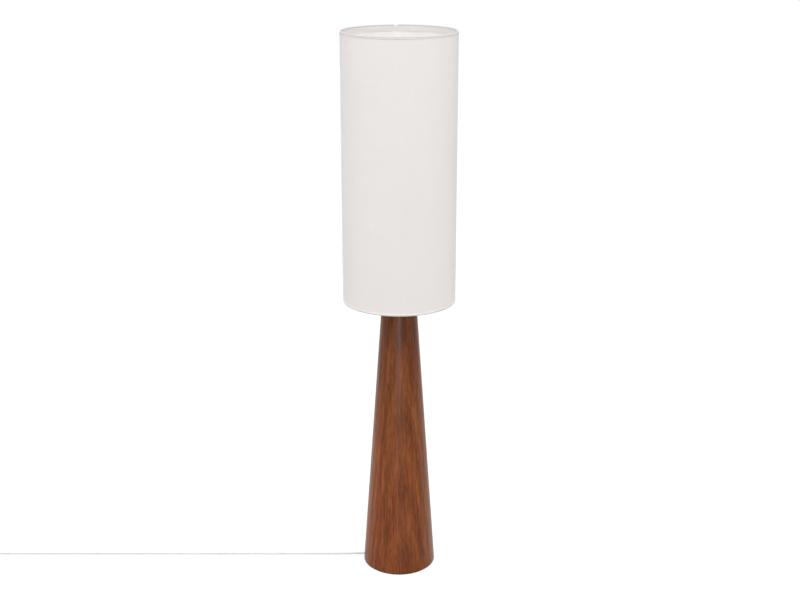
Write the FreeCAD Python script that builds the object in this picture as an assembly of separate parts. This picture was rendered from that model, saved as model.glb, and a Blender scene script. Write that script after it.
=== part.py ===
import FreeCAD, Part
import math
import os
from FreeCAD import Vector

# A column floor lamp, in millimetres. +Z is up, the origin is the centre of the foot's underside, and the
# lamp's front faces -Y. The cord leaves the foot towards -X and lies on the floor.

# ---- Clearances ----------------------------------------------------------------------------------------
fit_gap = 0.05  # radial, between a fixed piece and the hole that it fills
seat_gap = 0.3  # round a piece that drops into a recess
turn_gap = 0.6  # radial, between pieces that turn or slide past each other
face_gap = 0.1  # between flat faces that move past each other

# ---- Column and foot -----------------------------------------------------------------------------------
felt_thickness = 2.0
felt_inset = 1.5
column_height = 648.0
column_foot_radius = 83.0
column_top_radius = 38.0
foot_edge_round = 4.0
top_edge_round = 2.5
recess_radius = 60.0
recess_depth = 60.0
weight_gap = 1.0
weight_thickness = 18.0
cover_ledge = 6.0  # the wood that the cover rests on, outside the recess
cover_thickness = 3.0
cover_screw_count = 3
cover_screw_first = 90.0  # degrees from +X
wood_screw_radius = 1.5
wood_screw_length = 18.0
wood_screw_head_radius = 2.9
wood_screw_head_height = 1.6

# ---- Through tube and its fastenings -------------------------------------------------------------------
tube_radius = 5.0
tube_wall = 1.0
tube_tail = 3.0  # below the lower nut
tube_head = 6.0  # above the lampholder cap's floor
nut_flats = 17.0
nut_chamfer = 1.0
lower_nut_height = 5.0
top_nut_height = 4.0
washer_radius = 15.0
washer_thickness = 2.0
plate_inset = 8.0  # from the column's top edge
plate_thickness = 2.0

# ---- Lampholder ----------------------------------------------------------------------------------------
cap_height = 30.0
cap_floor = 5.0
cap_neck_radius = 9.0
cap_neck_height = 5.0
cap_cone_height = 8.0
cap_lip = 0.5  # how far the cap stands out past the skirt
grub_screw_radius = 1.5
grub_slot_width = 0.6
grub_slot_depth = 0.8
core_depth = 8.0  # below the cap's rim
core_flange_thickness = 2.0
core_height = 6.0  # above the cap's rim
core_seat = 1.5  # the width of the cap's rim that the core's flange rests on
core_rim = 0.8  # outside the screw shell
skirt_height = 38.0
skirt_radius = 19.9
skirt_wall = 2.5
skirt_flange_radius = 24.0
skirt_flange_thickness = 3.0
skirt_ledge_thickness = 2.0
skirt_lip_height = 4.0
skirt_mouth_gap = 1.0
shade_ring_height = 8.0
shade_ring_grips = 12
shade_ring_grip_radius = 1.6
shade_ring_grip_start = 2.0  # above the ring's lower face
shade_ring_grip_offset = 0.4  # the grips' centres, outside the ring
shell_bore_radius = 13.6
shell_wall = 0.4
shell_height = 24.0
shell_seat_radius = 9.0
contact_radius = 3.5
contact_height = 2.4
rivet_radius = 1.2
rivet_head_radius = 2.1
rivet_head_height = 1.0
rivet_length = 5.0
terminal_offset = 8.0
terminal_spacing = 5.5
terminal_screw_radius = 1.4
terminal_screw_length = 5.0
terminal_head_radius = 2.4
terminal_head_height = 1.8
conductor_radius = 0.9
conductor_spacing = 2.4
sheath_head = 1.0  # above the through tube
wire_rise = 3.0  # straight up out of the sheath
wire_drop = 4.0  # straight down from the core

# ---- Bulb ----------------------------------------------------------------------------------------------
bulb_radius = 30.0
bulb_length = 108.0
bulb_thread_gap = 0.5
bulb_cap_length = 21.5
bulb_cap_wall = 0.4
bulb_insulator_length = 3.5
bulb_tip_radius = 4.0
bulb_tip_length = 2.0
bulb_throat_step = 0.3  # from the screw cap out to the collar
bulb_throat_length = 3.0
bulb_collar_radius = 21.0
bulb_collar_length = 14.0
bulb_wall = 0.8
board_thickness = 1.6

# ---- Shade ---------------------------------------------------------------------------------------------
shade_radius = 125.0
shade_height = 590.0
shade_drop = 5.0  # the lower rim hangs this far below the column's top
fabric_thickness = 1.0
liner_thickness = 0.6
hem_thickness = 0.4
hem_width = 6.0
hem_tuck = 1.5  # past the hoop, inside the shade
hoop_wire_radius = 1.5
arm_wire_radius = 1.4
arm_count = 3
carrier_ring_overhang = 5.0
carrier_ring_thickness = 1.5

# ---- Cord ----------------------------------------------------------------------------------------------
cord_radius = 2.5
cord_y = 20.5
cord_exit_rise = 0.8  # above the cord's height on the floor
notch_gap = 0.2
bush_projection = 1.1
bush_tip_wall = 0.9
bush_root_wall = 2.1
bush_flange_width = 1.4
bush_flange_thickness = 2.0
bush_floor_gap = 0.3
slot_inner_x = -27.0

# ---- Coil of the spare cord ----------------------------------------------------------------------------
coil_whole_turns = 4
coil_gap = 0.5
coil_inner_radius = 20.8
coil_centre_x = -1145.0
coil_end_run = 5.0

# ---- Foot switch ---------------------------------------------------------------------------------------
switch_centre_x = -1044.0
switch_radius = 32.0
switch_wall = 2.2
switch_floor = 3.0
switch_split_z = 10.0
switch_top_z = 23.0
switch_roof = 2.0
switch_shoulder = 7.0
switch_edge_round = 1.0
switch_cord_z = 6.0
switch_cord_inside = 8.0  # from the switch's outside to the end of each cord
button_radius = 15.0
button_wall = 2.5
button_proud = 4.0
button_travel = 4.0
button_edge_round = 2.5
button_flange_width = 2.3
button_flange_thickness = 2.0
collar_wall = 1.6
press_gap = 0.5  # left over the contact block when the button is pressed
block_length = 24.0
block_width = 20.0
block_height = 4.3
block_boss_gap = 1.1  # inside the spring
block_boss_height = 2.0
spring_radius = 6.0
spring_wire_radius = 0.45
spring_turns = 6
terminal_length = 5.0
terminal_width = 6.0
terminal_height = 4.0
terminal_pitch = 10.0
switch_screw_radius = 1.2
switch_screw_length = 12.0
switch_screw_head_radius = 2.4
switch_screw_head_height = 1.4
switch_screw_sink = 0.4
switch_boss_radius = 3.0
switch_boss_gap = 1.3  # inside the wall
boot_length = 22.0
boot_root_wall = 2.5
boot_tip_wall = 0.8

# ---- Plug ----------------------------------------------------------------------------------------------
plug_width = 35.0
plug_tail_width = 16.0
plug_height = 13.7
plug_length = 35.0
plug_straight = 9.0
plug_edge_round = 3.0
plug_boot_length = 28.0
plug_boot_root_wall = 3.1
pin_spacing = 18.6
pin_radius = 2.0
pin_length = 19.0
pin_core_radius = 1.3
pin_root = 12.0
pin_sleeve_radius = 1.7
pin_sleeve_length = 10.0
pin_sleeve_root = 2.0
pin_tip_round = 1.2

# ---- Levels and places worked out from the sizes -------------------------------------------------------
wood_bottom_z = felt_thickness
wood_top_z = wood_bottom_z + column_height
recess_top_z = wood_bottom_z + recess_depth
cover_top_z = wood_bottom_z + cover_thickness
cover_radius = recess_radius + cover_ledge
cover_screw_circle = recess_radius + cover_ledge / 2
weight_bottom_z = recess_top_z - weight_thickness
washer_bottom_z = weight_bottom_z - washer_thickness
lower_nut_bottom_z = washer_bottom_z - lower_nut_height
tube_bottom_z = lower_nut_bottom_z - tube_tail
tube_bore_radius = tube_radius - tube_wall
plate_radius = column_top_radius - plate_inset
plate_top_z = wood_top_z + plate_thickness
cap_bottom_z = plate_top_z + top_nut_height
cap_floor_z = cap_bottom_z + cap_floor
cap_top_z = cap_bottom_z + cap_height
tube_top_z = cap_floor_z + tube_head
sheath_top_z = tube_top_z + sheath_head
core_bottom_z = cap_top_z - core_depth
core_top_z = cap_top_z + core_height
core_top_radius = shell_bore_radius + shell_wall + core_rim
rivet_circle = shell_bore_radius - rivet_head_radius - fit_gap
skirt_top_z = cap_top_z + skirt_height
skirt_bore_radius = skirt_radius - skirt_wall
cap_radius = skirt_radius + cap_lip
cap_bore_radius = skirt_bore_radius - core_seat
skirt_flange_top_z = cap_top_z + skirt_flange_thickness
carrier_bottom_z = skirt_flange_top_z + face_gap
carrier_top_z = carrier_bottom_z + carrier_ring_thickness
carrier_ring_radius = skirt_flange_radius + carrier_ring_overhang
shade_ring_bottom_z = carrier_top_z + face_gap

bulb_bottom_z = core_top_z + contact_height + face_gap
bulb_cap_bottom_z = bulb_bottom_z + bulb_tip_length + bulb_insulator_length
bulb_cap_top_z = bulb_cap_bottom_z + bulb_cap_length
bulb_throat_top_z = bulb_cap_top_z + bulb_throat_length
bulb_collar_top_z = bulb_throat_top_z + bulb_collar_length
bulb_top_z = bulb_bottom_z + bulb_length
bulb_cap_radius = shell_bore_radius - bulb_thread_gap
bulb_throat_radius = bulb_cap_radius + bulb_throat_step
skirt_mouth_radius = bulb_throat_radius + skirt_mouth_gap

shade_bottom_z = wood_top_z - shade_drop
shade_top_z = shade_bottom_z + shade_height
liner_radius = shade_radius - fabric_thickness
liner_bore_radius = liner_radius - liner_thickness
hoop_radius = liner_bore_radius - fit_gap - hoop_wire_radius
hem_bore_radius = hoop_radius - hoop_wire_radius - fit_gap - hem_thickness
hoop_inset = hem_thickness + fit_gap + hoop_wire_radius
hem_tuck_depth = hoop_inset + hoop_wire_radius + hem_tuck

cord_exit_z = cord_radius + cord_exit_rise
bush_tip_radius = cord_radius + bush_tip_wall
bush_root_radius = cord_radius + bush_root_wall
bush_flange_radius = bush_root_radius + bush_flange_width
notch_radius = bush_root_radius + notch_gap
slot_half_width = bush_flange_radius + seat_gap
foot_edge_x = -math.sqrt(column_foot_radius**2 - cord_y**2)
bush_outer_x = foot_edge_x - bush_projection
bush_flange_x = -math.sqrt(recess_radius**2 - (cord_y + bush_flange_radius) ** 2) + fit_gap
bush_inner_x = bush_flange_x + bush_flange_thickness

switch_far_x = switch_centre_x - switch_radius
switch_bore_radius = switch_radius - switch_wall
switch_cord_reach = switch_radius - switch_cord_inside
switch_screw_offset = switch_bore_radius - switch_boss_gap - switch_boss_radius
block_top_z = switch_floor + block_height
button_top_z = switch_top_z + button_proud
collar_radius = button_radius + seat_gap
button_bottom_z = block_top_z + press_gap + button_travel
button_flange_top_z = button_bottom_z + button_flange_thickness
collar_bottom_z = button_flange_top_z + face_gap
button_roof_z = button_top_z - button_wall
block_boss_radius = spring_radius - spring_wire_radius - block_boss_gap

coil_turns = coil_whole_turns + 0.5
half_coil = math.pi * coil_turns
coil_pitch = 2 * cord_radius + coil_gap
coil_outer_radius = coil_inner_radius + coil_pitch * coil_turns / 2
coil_centre_y = cord_y - coil_outer_radius
coil_start_x = coil_centre_x + coil_end_run
coil_low_z = cord_radius
coil_high_z = coil_low_z + coil_pitch
plug_axis_z = plug_height / 2

# ---- Routes of the cord: points chosen by hand between the ends that the pieces give -------------------
exit_point = Vector(bush_outer_x, cord_y, cord_exit_z)
near_end = Vector(switch_centre_x + switch_cord_reach, cord_y, switch_cord_z)
far_end = Vector(switch_centre_x - switch_cord_reach, cord_y, switch_cord_z)
coil_start = Vector(coil_start_x, cord_y, coil_low_z)
coil_end = Vector(coil_start_x, coil_centre_y - coil_outer_radius, coil_high_z)

inner_route = [
    exit_point,
    Vector(-42.0, cord_y, cord_exit_z),
    Vector(-26.0, 18.0, 9.0),
    Vector(0.0, 0.0, 18.0),
    Vector(0.0, 0.0, sheath_top_z),
]
floor_route = [
    exit_point,
    Vector(-102.0, cord_y, cord_exit_z),
    Vector(-140.0, cord_y, cord_radius),
    Vector(-946.0, cord_y, cord_radius),
    Vector(-974.0, cord_y, switch_cord_z),
    near_end,
]
far_route = [
    far_end,
    Vector(-1108.0, cord_y, switch_cord_z),
    Vector(-1128.0, cord_y, cord_radius),
    coil_start,
]
plug_route = [
    coil_end,
    coil_end + Vector(14.0, 0.0, 0.0),
    Vector(coil_end.x + 30.0, coil_end.y, plug_axis_z),
    Vector(coil_end.x + 66.0, coil_end.y, plug_axis_z),
]
plug_back = plug_route[-1]


# ---- Shapes that repeat --------------------------------------------------------------------------------
def cylinder(radius, low, high, x=0.0, y=0.0):
    return Part.makeCylinder(radius, high - low, Vector(x, y, low))


def ring(outer, inner, low, high, x=0.0, y=0.0):
    return cylinder(outer, low, high, x, y).cut(cylinder(inner, low - 1, high + 1, x, y))


def box(low_x, high_x, low_y, high_y, low_z, high_z):
    return Part.makeBox(high_x - low_x, high_y - low_y, high_z - low_z, Vector(low_x, low_y, low_z))


def turned(outline, x=0.0, y=0.0):
    """The solid that a closed outline of (radius, z) points sweeps round a vertical axis."""
    corners = [Vector(radius, 0, z) for radius, z in outline]
    face = Part.Face(Part.makePolygon(corners + [corners[0]]))
    solid = face.revolve(Vector(0, 0, 0), Vector(0, 0, 1), 360)
    solid.translate(Vector(x, y, 0))
    return solid


def rounded(shape, radius, level, edge_radius):
    """Rounds the circular edge of one radius at one height."""
    edges = []
    for edge in shape.Edges:
        curve = edge.Curve
        if not isinstance(curve, Part.Circle):
            continue
        if abs(curve.Center.z - level) < 0.01 and abs(curve.Radius - edge_radius) < 0.01:
            edges.append(edge)
    return shape.makeFillet(radius, edges)


def nut(flats, bore, low, high):
    corner_radius = flats / math.sqrt(3)
    corners = [
        Vector(corner_radius * math.cos(math.radians(a)), corner_radius * math.sin(math.radians(a)), low)
        for a in range(0, 361, 60)
    ]
    prism = Part.Face(Part.makePolygon(corners)).extrude(Vector(0, 0, high - low))
    shoulder = high - nut_chamfer
    crown = Part.makeCone(corner_radius, flats / 2, nut_chamfer, Vector(0, 0, shoulder))
    body = cylinder(corner_radius, low, shoulder).fuse(crown)
    return prism.common(body).cut(cylinder(bore, low - 1, high + 1))


def around(shape, count, first=0.0):
    """Copies of a shape at equal steps round the vertical axis."""
    copies = []
    for i in range(count):
        copy = shape.copy()
        copy.rotate(Vector(0, 0, 0), Vector(0, 0, 1), first + 360.0 * i / count)
        copies.append(copy)
    return copies


def corner_arc(start, corner, end):
    """The arc that is tangent at start and end to two equal legs that meet at the corner."""
    middle = (start + end) * 0.5
    leg = (corner - start).Length
    half_chord = (middle - start).Length
    crest = corner + (middle - corner) * (1.0 / (1.0 + half_chord / leg))
    return Part.Arc(start, crest, end).toShape()


def rounded_route(name, points):
    """Straight runs joined by tangent arcs, each as large as its shorter run allows."""
    edges = []
    start = points[0]
    radii = []
    for before, corner, after in zip(points, points[1:], points[2:]):
        shorter = min((corner - before).Length, (after - corner).Length)
        cut = 0.45 * shorter
        arc_start = corner + (before - corner).normalize() * cut
        arc_end = corner + (after - corner).normalize() * cut
        edges.append(Part.LineSegment(start, arc_start).toShape())
        arc = corner_arc(arc_start, corner, arc_end)
        edges.append(arc)
        radii.append(arc.Curve.Radius)
        start = arc_end
    edges.append(Part.LineSegment(start, points[-1]).toShape())
    print(name, "radii", [round(radius, 1) for radius in radii])
    return Part.Wire(edges)


def swept(name, path, radius):
    """A round solid along a path, with its volume set against its section times its length."""
    start = path.OrderedVertexes[0].Point
    direction = path.OrderedEdges[0].tangentAt(path.OrderedEdges[0].FirstParameter)
    section = Part.Wire(Part.makeCircle(radius, start, direction))
    solid = path.makePipeShell([section], True, False)
    ratio = solid.Volume / (math.pi * radius**2 * path.Length)
    print(name, "length", round(path.Length, 1), "volume ratio", round(ratio, 4), "valid", solid.isValid())
    return solid


def cord(name, points, radius=cord_radius):
    return swept(name, rounded_route(name, points), radius)


def biarc(start, start_way, end, end_way):
    """Two arcs that join smoothly, from one point and direction to another."""
    chord = end - start
    along = chord.dot(start_way + end_way)
    bend = 2.0 * (1.0 - start_way.dot(end_way))
    leg = (math.sqrt(along**2 + bend * chord.dot(chord)) - along) / bend
    first_corner = start + start_way * leg
    second_corner = end - end_way * leg
    joint = (first_corner + second_corner) * 0.5
    return [corner_arc(start, first_corner, joint), corner_arc(joint, second_corner, end)]


def least_gap(path, radius, skipped):
    """The least gap between stretches of a wound tube that are further apart than the skipped length."""
    points = path.discretize(Number=int(path.Length))
    step = path.Length / (len(points) - 1)
    far = int(skipped / step) + 1
    least = min(
        (points[i] - points[j]).Length for i in range(len(points)) for j in range(i + far, len(points))
    )
    return least - 2 * radius


def tapered_sleeve(root, way, length, root_wall):
    """A tapered sleeve with a bore for the cord, from its root along one direction."""
    cone = Part.makeCone(cord_radius + root_wall, cord_radius + boot_tip_wall, length, root, way)
    bore = Part.makeCylinder(cord_radius + fit_gap, length + 2, root - way, way)
    return cone.cut(bore)


# ---- Column and foot -----------------------------------------------------------------------------------
def cord_slot(low, high):
    """The slot under the foot that the cord and its bush lie in."""
    outer_x = -column_foot_radius - 1
    return box(outer_x, slot_inner_x, cord_y - slot_half_width, cord_y + slot_half_width, low, high)


def wooden_column():
    cone = Part.makeCone(
        column_foot_radius, column_top_radius, column_height, Vector(0, 0, wood_bottom_z)
    )
    cone = rounded(cone, foot_edge_round, wood_bottom_z, column_foot_radius)
    cone = rounded(cone, top_edge_round, wood_top_z, column_top_radius)
    below = wood_bottom_z - 1
    cuts = [
        cylinder(tube_radius + seat_gap, below, wood_top_z + 1),
        cylinder(recess_radius, below, recess_top_z),
        cylinder(cover_radius + seat_gap, below, cover_top_z),
    ]
    notch_start = Vector(-column_foot_radius - 1, cord_y, cord_exit_z)
    notch_length = column_foot_radius + 1 - recess_radius / 2
    cuts.append(Part.makeCylinder(notch_radius, notch_length, notch_start, Vector(1, 0, 0)))
    cuts.append(
        box(
            notch_start.x,
            notch_start.x + notch_length,
            cord_y - notch_radius,
            cord_y + notch_radius,
            below,
            cord_exit_z,
        )
    )
    pilot = cylinder(
        wood_screw_radius + fit_gap, below, wood_bottom_z + wood_screw_length + 1, cover_screw_circle
    )
    cuts += around(pilot, cover_screw_count, cover_screw_first)
    return cone.cut(cuts)


def bottom_cover():
    plate = cylinder(cover_radius, wood_bottom_z, cover_top_z)
    hole = cylinder(wood_screw_radius + fit_gap, wood_bottom_z - 1, cover_top_z + 1, cover_screw_circle)
    sink = wood_screw_seat(wood_screw_head_radius + fit_gap)
    holes = around(hole.fuse(sink), cover_screw_count, cover_screw_first)
    return plate.cut(holes + [cord_slot(wood_bottom_z - 1, cover_top_z + 1)])


def wood_screw_seat(head_radius):
    return Part.makeCone(
        head_radius,
        wood_screw_radius,
        wood_screw_head_height,
        Vector(cover_screw_circle, 0, wood_bottom_z),
    )


def cover_screws():
    shank = cylinder(
        wood_screw_radius,
        wood_bottom_z + wood_screw_head_height,
        wood_bottom_z + wood_screw_length,
        cover_screw_circle,
    )
    screw = wood_screw_seat(wood_screw_head_radius).fuse(shank)
    return Part.makeCompound(around(screw, cover_screw_count, cover_screw_first))


def felt_pad():
    felt_radius = column_foot_radius - foot_edge_round - felt_inset
    return cylinder(felt_radius, 0, felt_thickness).cut(cord_slot(-1, felt_thickness + 1))


def cord_bush():
    inward = Vector(1, 0, 0)
    length = bush_inner_x - bush_outer_x
    cone = Part.makeCone(bush_tip_radius, bush_root_radius, length, exit_point, inward)
    flange = Part.makeCylinder(
        bush_flange_radius, bush_flange_thickness, Vector(bush_flange_x, cord_y, cord_exit_z), inward
    )
    bore = Part.makeCylinder(cord_radius + fit_gap, length + 2, exit_point - inward, inward)
    flat = cord_slot(cord_exit_z - 2 * bush_flange_radius, bush_floor_gap)
    return cone.fuse(flange).cut([bore, flat])


def counterweight():
    return ring(recess_radius - weight_gap, tube_radius + seat_gap, weight_bottom_z, recess_top_z)


def foot_parts():
    return {
        "wooden_column": wooden_column(),
        "counterweight": counterweight(),
        "lower_washer": ring(washer_radius, tube_radius + seat_gap, washer_bottom_z, weight_bottom_z),
        "lower_nut": nut(nut_flats, tube_radius + fit_gap, lower_nut_bottom_z, washer_bottom_z),
        "through_tube": ring(tube_radius, tube_bore_radius, tube_bottom_z, tube_top_z),
        "bottom_cover": bottom_cover(),
        "cover_screws": cover_screws(),
        "felt_pad": felt_pad(),
        "cord_bush": cord_bush(),
        "inner_cable": cord("inner_cable", inner_route),
        "top_plate": ring(plate_radius, tube_radius + seat_gap, wood_top_z, plate_top_z),
        "top_nut": nut(nut_flats, tube_radius + fit_gap, plate_top_z, cap_bottom_z),
    }


# ---- Lampholder ----------------------------------------------------------------------------------------
def holder_cap():
    neck_top_z = cap_bottom_z + cap_neck_height
    cone_top_z = neck_top_z + cap_cone_height
    outline = [
        (tube_radius + fit_gap, cap_bottom_z),
        (cap_neck_radius, cap_bottom_z),
        (cap_neck_radius, neck_top_z),
        (cap_radius, cone_top_z),
        (cap_radius, cap_top_z),
        (cap_bore_radius, cap_top_z),
        (cap_bore_radius, cone_top_z + 1),
        (cap_neck_radius - 1, cap_floor_z + 1),
        (cap_neck_radius - 1, cap_floor_z),
        (tube_radius + fit_gap, cap_floor_z),
    ]
    return turned(outline).cut(grub_screw(grub_screw_radius + fit_gap, cap_neck_radius + 1))


def grub_screw(radius, reach):
    start = Vector(0, tube_radius + fit_gap, cap_bottom_z + cap_neck_height / 2)
    return Part.makeCylinder(radius, reach - start.y, start, Vector(0, 1, 0))


def holder_grub_screw():
    screw = grub_screw(grub_screw_radius, cap_neck_radius)
    middle_z = cap_bottom_z + cap_neck_height / 2
    slot = box(
        -cap_neck_radius,
        cap_neck_radius,
        cap_neck_radius - grub_slot_depth,
        cap_neck_radius + 1,
        middle_z - grub_slot_width / 2,
        middle_z + grub_slot_width / 2,
    )
    return screw.cut(slot)


def holder_core():
    outline = [
        (0, core_bottom_z),
        (cap_bore_radius - seat_gap, core_bottom_z),
        (cap_bore_radius - seat_gap, cap_top_z),
        (skirt_bore_radius - fit_gap, cap_top_z),
        (skirt_bore_radius - fit_gap, cap_top_z + core_flange_thickness),
        (core_top_radius, cap_top_z + core_flange_thickness),
        (core_top_radius, core_top_z),
        (0, core_top_z),
    ]
    cuts = [cylinder(rivet_radius + fit_gap, core_top_z - rivet_length, core_top_z + 1)]
    for side in (-1, 1):
        cuts.append(
            cylinder(
                rivet_radius + fit_gap,
                core_top_z - rivet_length,
                core_top_z + 1,
                0,
                side * rivet_circle,
            )
        )
        cuts.append(
            cylinder(
                conductor_radius + fit_gap,
                core_bottom_z - 1,
                core_bottom_z + terminal_screw_length,
                side * terminal_offset,
            )
        )
        cuts.append(
            cylinder(
                terminal_screw_radius + fit_gap,
                core_bottom_z - 1,
                core_bottom_z + terminal_screw_length,
                side * terminal_offset,
                terminal_spacing,
            )
        )
    return turned(outline).cut(cuts)


def terminal_screws():
    screws = []
    for side in (-1, 1):
        x = side * terminal_offset
        y = terminal_spacing
        head = cylinder(terminal_head_radius, core_bottom_z - terminal_head_height, core_bottom_z, x, y)
        shank = cylinder(
            terminal_screw_radius, core_bottom_z, core_bottom_z + terminal_screw_length, x, y
        )
        screws.append(head.fuse(shank))
    return Part.makeCompound(screws)


def conductor(name, side):
    """One insulated wire, from the end of the cable's sheath into its hole in the core."""
    near_x = side * conductor_spacing / 2
    far_x = side * terminal_offset
    points = [
        Vector(near_x, 0, sheath_top_z),
        Vector(near_x, 0, sheath_top_z + wire_rise),
        Vector(far_x, 0, core_bottom_z - wire_drop),
        Vector(far_x, 0, core_bottom_z + terminal_screw_length),
    ]
    return cord(name, points, conductor_radius)


def holder_skirt():
    ledge_z = cap_top_z + core_flange_thickness
    ledge_top_z = ledge_z + skirt_ledge_thickness
    lip_z = skirt_top_z - skirt_lip_height
    outline = [
        (skirt_bore_radius, cap_top_z),
        (skirt_flange_radius, cap_top_z),
        (skirt_flange_radius, skirt_flange_top_z),
        (skirt_radius, skirt_flange_top_z),
        (skirt_radius, skirt_top_z),
        (skirt_mouth_radius, skirt_top_z),
        (skirt_mouth_radius, lip_z),
        (skirt_bore_radius, lip_z),
        (skirt_bore_radius, ledge_top_z),
        (core_top_radius + seat_gap, ledge_top_z),
        (core_top_radius + seat_gap, ledge_z),
        (skirt_bore_radius, ledge_z),
    ]
    return turned(outline)


def shade_ring():
    low = shade_ring_bottom_z
    high = low + shade_ring_height
    body = ring(skirt_flange_radius, skirt_radius + fit_gap, low, high)
    grip_x = skirt_flange_radius + shade_ring_grip_offset
    grip = cylinder(shade_ring_grip_radius, low + shade_ring_grip_start, high + 1, grip_x)
    return body.cut(around(grip, shade_ring_grips))


def screw_shell():
    outer = shell_bore_radius + shell_wall
    outline = [
        (shell_seat_radius, core_top_z),
        (outer, core_top_z),
        (outer, core_top_z + shell_height),
        (shell_bore_radius, core_top_z + shell_height),
        (shell_bore_radius, core_top_z + shell_wall),
        (shell_seat_radius, core_top_z + shell_wall),
    ]
    holes = [rivet_shank(side * rivet_circle, rivet_radius + fit_gap) for side in (-1, 1)]
    return turned(outline).cut(holes)


def rivet_shank(y, radius):
    return cylinder(radius, core_top_z - rivet_length, core_top_z + 2 * shell_wall, 0, y)


def shell_rivets():
    head_z = core_top_z + shell_wall
    rivets = []
    for side in (-1, 1):
        y = side * rivet_circle
        shank = cylinder(rivet_radius, core_top_z - rivet_length, head_z, 0, y)
        head = cylinder(rivet_head_radius, head_z, head_z + rivet_head_height, 0, y)
        rivets.append(shank.fuse(head))
    return Part.makeCompound(rivets)


def centre_contact():
    shank = cylinder(rivet_radius, core_top_z - rivet_length, core_top_z)
    button = cylinder(contact_radius, core_top_z, core_top_z + contact_height)
    button = rounded(button, contact_height / 2, core_top_z + contact_height, contact_radius)
    return shank.fuse(button)


def holder_parts():
    return {
        "holder_cap": holder_cap(),
        "holder_grub_screw": holder_grub_screw(),
        "holder_core": holder_core(),
        "holder_skirt": holder_skirt(),
        "shade_ring": shade_ring(),
        "screw_shell": screw_shell(),
        "shell_rivets": shell_rivets(),
        "centre_contact": centre_contact(),
        "terminal_screws": terminal_screws(),
        "live_wire": conductor("live_wire", 1),
        "neutral_wire": conductor("neutral_wire", -1),
    }


# ---- Bulb ----------------------------------------------------------------------------------------------
def globe(radius, neck_radius, low):
    """A ball of one radius that runs down to its neck along the tangent."""
    centre_z = bulb_top_z - bulb_radius
    drop = centre_z - low
    reach = math.hypot(neck_radius, drop)
    lean = math.atan2(neck_radius, drop)
    turn = lean + math.acos(radius / reach)
    side = Vector(radius * math.sin(turn), 0, centre_z - radius * math.cos(turn))
    crest_turn = (turn + math.pi) / 2
    crest = Vector(radius * math.sin(crest_turn), 0, centre_z - radius * math.cos(crest_turn))
    top = Vector(0, 0, centre_z + radius)
    edges = [
        Part.LineSegment(Vector(0, 0, low), Vector(neck_radius, 0, low)).toShape(),
        Part.LineSegment(Vector(neck_radius, 0, low), side).toShape(),
        Part.Arc(side, crest, top).toShape(),
        Part.LineSegment(top, Vector(0, 0, low)).toShape(),
    ]
    return Part.Face(Part.Wire(edges)).revolve(Vector(0, 0, 0), Vector(0, 0, 1), 360)


def bulb_glass():
    outer = globe(bulb_radius, bulb_collar_radius, bulb_collar_top_z)
    inner = globe(bulb_radius - bulb_wall, bulb_collar_radius - bulb_wall, bulb_collar_top_z)
    return outer.cut(inner)


def bulb_collar():
    wall = 2 * bulb_wall
    outline = [
        (bulb_throat_radius - wall, bulb_cap_top_z),
        (bulb_throat_radius, bulb_cap_top_z),
        (bulb_throat_radius, bulb_throat_top_z),
        (bulb_collar_radius, bulb_collar_top_z),
        (bulb_collar_radius - wall, bulb_collar_top_z),
        (bulb_throat_radius - wall, bulb_throat_top_z),
    ]
    return turned(outline)


def bulb_led_board():
    """A disc in the collar's flare, whose lower edge is as wide as the flare is there."""
    flare = (bulb_collar_radius - bulb_throat_radius) / bulb_collar_length
    board_radius = bulb_collar_radius - 2 * bulb_wall - flare * board_thickness
    return cylinder(board_radius, bulb_collar_top_z - board_thickness, bulb_collar_top_z)


def bulb_screw_cap():
    inner = bulb_cap_radius - bulb_cap_wall
    return ring(bulb_cap_radius, inner, bulb_cap_bottom_z, bulb_cap_top_z)


def bulb_insulator():
    low = bulb_bottom_z + bulb_tip_length
    return Part.makeCone(
        bulb_tip_radius, bulb_cap_radius, bulb_insulator_length, Vector(0, 0, low)
    )


def bulb_tip_contact():
    tip = cylinder(bulb_tip_radius, bulb_bottom_z, bulb_bottom_z + bulb_tip_length)
    return rounded(tip, bulb_tip_length / 2, bulb_bottom_z, bulb_tip_radius)


def bulb_parts():
    return {
        "bulb_glass": bulb_glass(),
        "bulb_collar": bulb_collar(),
        "bulb_led_board": bulb_led_board(),
        "bulb_screw_cap": bulb_screw_cap(),
        "bulb_insulator": bulb_insulator(),
        "bulb_tip_contact": bulb_tip_contact(),
    }


# ---- Shade ---------------------------------------------------------------------------------------------
def hoop(level):
    return Part.makeTorus(hoop_radius, hoop_wire_radius, Vector(0, 0, level))


def carrier_arm(wire_radius):
    """One sloping arm, from the centre ring out to the bottom hoop."""
    ring_z = (carrier_bottom_z + carrier_top_z) / 2
    inner = Vector(carrier_ring_radius - hoop_wire_radius, 0, ring_z)
    outer = Vector(hoop_radius, 0, shade_bottom_z + hoop_inset)
    return Part.makeCylinder(wire_radius, (outer - inner).Length, inner, outer - inner)


def shade_carrier():
    centre = ring(carrier_ring_radius, skirt_radius + turn_gap, carrier_bottom_z, carrier_top_z)
    arms = around(carrier_arm(arm_wire_radius), arm_count)
    return centre.multiFuse(arms + [hoop(shade_bottom_z + hoop_inset)])


def hem(rim, inward):
    """The fabric that is turned over a hoop: a channel in section, open away from the rim."""
    outer = shade_radius + hem_thickness
    outline = [
        (hem_bore_radius, rim),
        (outer, rim),
        (outer, rim + inward * hem_width),
        (shade_radius, rim + inward * hem_width),
        (shade_radius, rim + inward * hem_thickness),
        (hem_bore_radius + hem_thickness, rim + inward * hem_thickness),
        (hem_bore_radius + hem_thickness, rim + inward * hem_tuck_depth),
        (hem_bore_radius, rim + inward * hem_tuck_depth),
    ]
    return turned(outline)


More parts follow.
